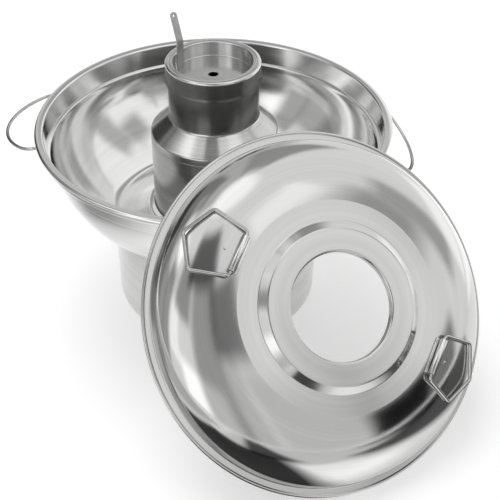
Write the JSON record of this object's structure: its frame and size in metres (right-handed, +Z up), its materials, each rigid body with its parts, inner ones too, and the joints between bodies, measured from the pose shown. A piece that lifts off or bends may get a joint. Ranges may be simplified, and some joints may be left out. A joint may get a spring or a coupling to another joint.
{
  "type": "hot_pot",
  "caption": "Stainless-steel chimney hot pot: ring-shaped bowl on a drum stand, charcoal firebox and chimney up the middle, damper cap, wire bails, and a domed lid leaning on the lip.",
  "frame": {"origin": "On the axis of the pot, at the flat underside of its stand, on the table.", "axes": "+Z points up along the chimney. +Y points to the back, where the draught opening is. +X points to the viewer's right. The lid leans in front, toward +X and -Y."},
  "size_m": [0.4141, 0.4495, 0.2833],
  "materials": {
    "bowl_steel": "polished stainless steel",
    "lid_steel": "polished stainless steel with fine turning marks",
    "stand_steel": "polished stainless steel",
    "firebox_steel": "polished stainless steel, a little darker",
    "damper_steel": "polished stainless steel",
    "wire_steel": "bright stainless wire and strap",
    "door_steel": "satin stainless steel",
    "grate_steel": "dull heat-stained steel"
  },
  "bodies": {
    "pot": {"bowl": "bowl_steel", "firebox": "firebox_steel", "chimney": "firebox_steel", "firebox_collar": "bowl_steel", "stand_drum": "stand_steel", "fire_grate": "grate_steel", "grate_lugs": "grate_steel", "door_rails": "stand_steel", "left_ears": "wire_steel", "right_ears": "wire_steel"},
    "door": {"air_door": "door_steel", "door_knob": "door_steel"},
    "damper": {"damper_cap": "damper_steel", "damper_strap": "wire_steel"},
    "left_bail": {"left_bail": "wire_steel"},
    "right_bail": {"right_bail": "wire_steel"},
    "lid": {"lid_shell": "lid_steel", "lid_clip_left": "wire_steel", "lid_clip_right": "wire_steel", "lid_clip_welds": "lid_steel"},
    "lid_left_bail": {"lid_bail_left": "wire_steel"},
    "lid_right_bail": {"lid_bail_right": "wire_steel"}
  },
  "joints": [
    {"name": "damper_lift", "type": "slide", "parent": "pot", "child": "damper", "axis": [0, 0, 1], "range_m": [0, 0.08]},
    {"name": "air_door_slide", "type": "hinge", "parent": "pot", "child": "door", "pos_m": [0, 0, 0.04], "axis": [0, 0, 1], "range_deg": [0, 38]},
    {"name": "left_bail_swing", "type": "hinge", "parent": "pot", "child": "left_bail", "pos_m": [-0.14954, 0.02102, 0.1775], "axis": [0.1392, 0.9903, 0], "range_deg": [-91, 63]},
    {"name": "right_bail_swing", "type": "hinge", "parent": "pot", "child": "right_bail", "pos_m": [0.15064, -0.01053, 0.1775], "axis": [-0.0698, -0.9976, 0], "range_deg": [-58, 96]},
    {"name": "lid_lift", "type": "slide", "parent": "pot", "child": "lid", "axis": [0.3141, -0.6735, 0.6691], "range_m": [0, 0.12]},
    {"name": "lid_bail_left_swing", "type": "hinge", "parent": "lid", "child": "lid_left_bail", "pos_m": [0.01642, -0.19529, 0.18676], "axis": [0.4113, 0.7317, 0.5435], "range_deg": [0, 190]},
    {"name": "lid_bail_right_swing", "type": "hinge", "parent": "lid", "child": "lid_right_bail", "pos_m": [0.17472, -0.21462, 0.093], "axis": [-0.4113, -0.7317, -0.5435], "range_deg": [0, 190]}
  ]
}
